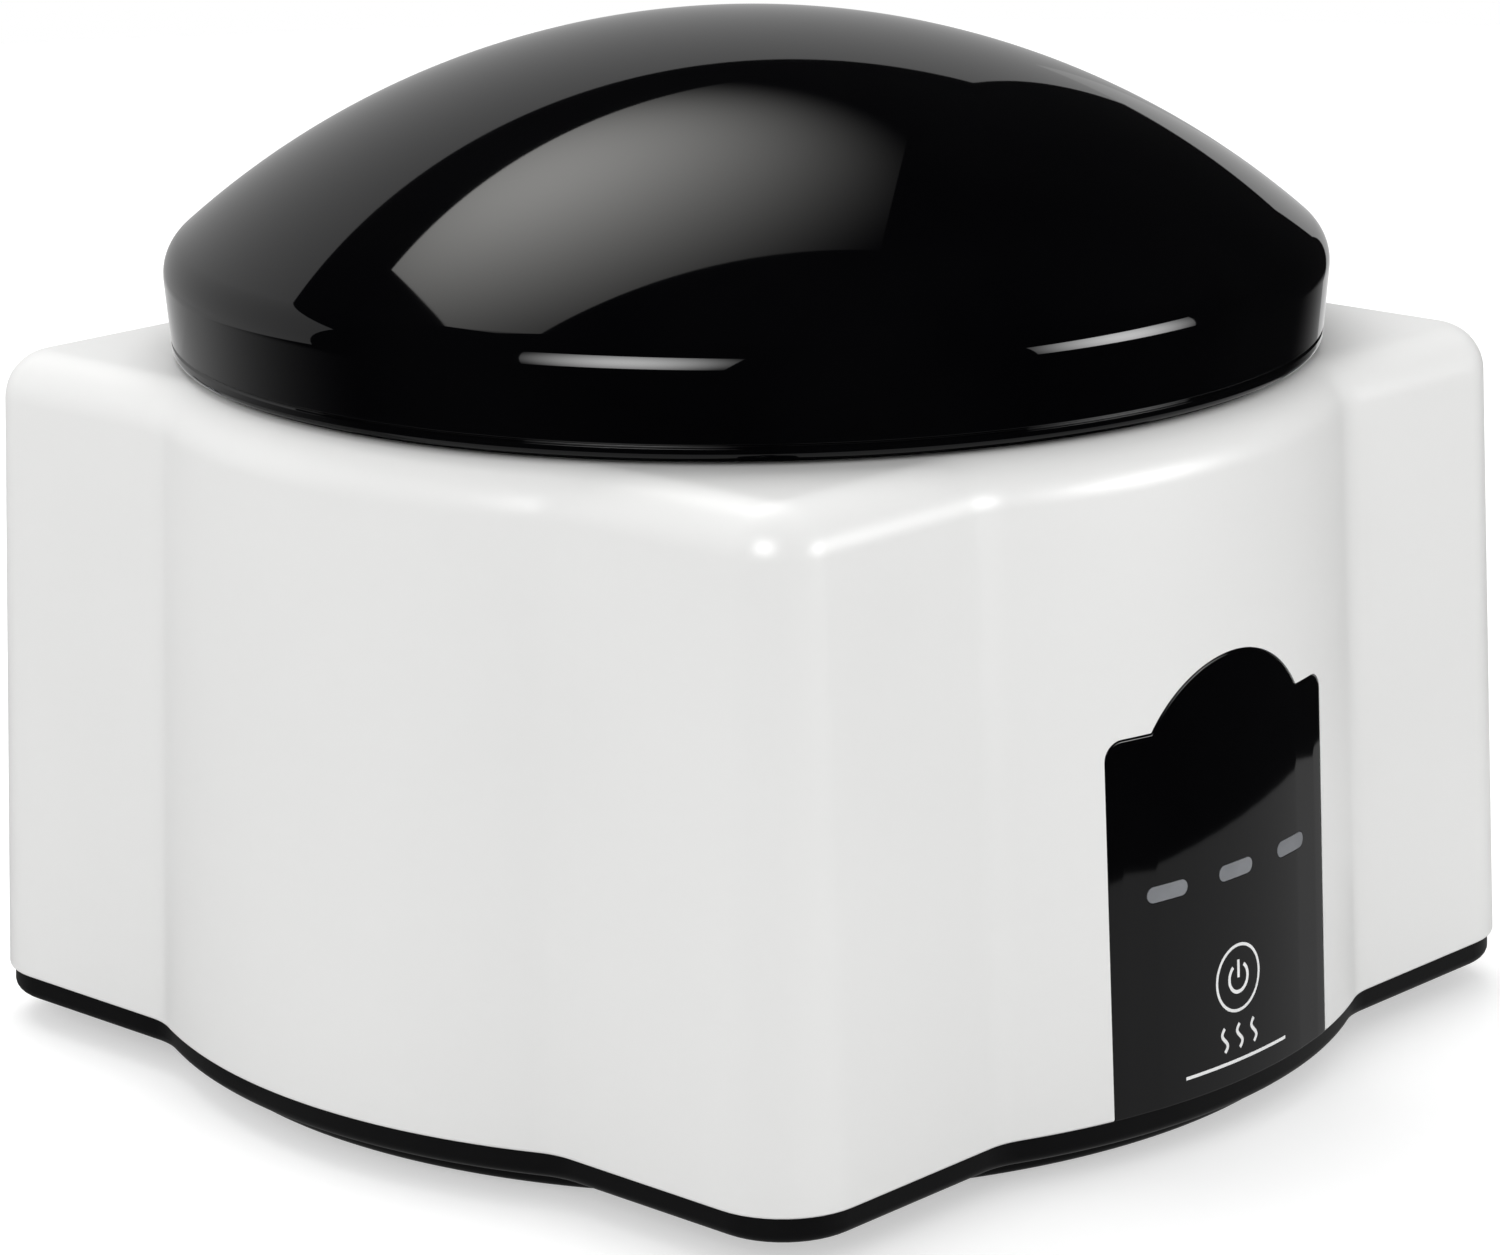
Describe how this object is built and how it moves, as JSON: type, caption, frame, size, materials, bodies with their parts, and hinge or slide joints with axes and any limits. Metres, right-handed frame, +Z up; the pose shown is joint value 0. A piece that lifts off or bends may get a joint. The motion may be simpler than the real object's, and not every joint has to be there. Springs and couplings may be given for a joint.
{
  "type": "nail gel steam remover",
  "caption": "Tabletop steam pot for soaking off gel nail polish: white lobed casing, black touch panel, heated basin, lift-out finger plate and lift-off dome lid.",
  "frame": {"origin": "on the table, under the middle of the pot", "axes": "+Z up, the control panel faces -Y, the supply inlet faces +Y"},
  "size_m": [0.18, 0.18, 0.1454],
  "materials": {
    "white_gloss_abs": "glossy moulded",
    "black_gloss_abs": "high gloss moulded",
    "black_gloss_acrylic": "high gloss sheet",
    "black_satin_abs": "satin moulded",
    "black_plate_plastic": "satin moulded, heat resistant",
    "black_liner_plastic": "satin moulded",
    "foot_rubber": "matt rubber",
    "silicone": "translucent silicone",
    "zinc_steel": "zinc plated",
    "sheet_steel": "plain sheet",
    "basin_aluminium": "drawn, brushed",
    "heater_aluminium": "machined",
    "light_diffuser": "milky clear",
    "circuit_laminate": "green laminate",
    "dark_moulding": "moulded",
    "conductive_foam": "foam",
    "felt": "pressed fibre",
    "lead_insulation": "smooth insulation",
    "ribbon_insulation": "flat ribbon"
  },
  "bodies": {
    "housing": {"casing": "white_gloss_abs", "base_tray": "black_satin_abs", "rubber_feet": "foot_rubber", "base_screws": "zinc_steel", "control_panel": "black_gloss_acrylic", "panel_carrier": "black_satin_abs", "light_guide": "light_diffuser", "display_board": "circuit_laminate", "status_leds": "light_diffuser", "touch_pad": "conductive_foam", "display_screws": "zinc_steel", "basin": "basin_aluminium", "basin_gasket": "silicone", "basin_screws": "zinc_steel", "heater_plate": "heater_aluminium", "heater_clamp": "sheet_steel", "heater_screws": "zinc_steel", "thermostat": "dark_moulding", "thermostat_screws": "zinc_steel", "temperature_sensor": "sheet_steel", "insulation_sleeve": "felt", "main_board": "circuit_laminate", "board_components": "dark_moulding", "board_screws": "zinc_steel", "dc_inlet": "dark_moulding", "inlet_nut": "sheet_steel", "inlet_leads": "lead_insulation", "heater_leads": "lead_insulation", "thermostat_leads": "lead_insulation", "sensor_leads": "lead_insulation", "display_ribbon": "ribbon_insulation"},
    "finger_plate": {"finger_plate": "black_plate_plastic"},
    "lid": {"lid_dome": "black_gloss_abs", "lid_liner": "black_liner_plastic", "lid_seal": "silicone"}
  },
  "joints": [
    {"name": "plate_lift", "type": "slide", "parent": "housing", "child": "finger_plate", "axis": [0, 0, 1], "range_m": [0, 0.06]},
    {"name": "lid_lift", "type": "slide", "parent": "finger_plate", "child": "lid", "axis": [0, 0, 1], "range_m": [0, 0.1]}
  ]
}
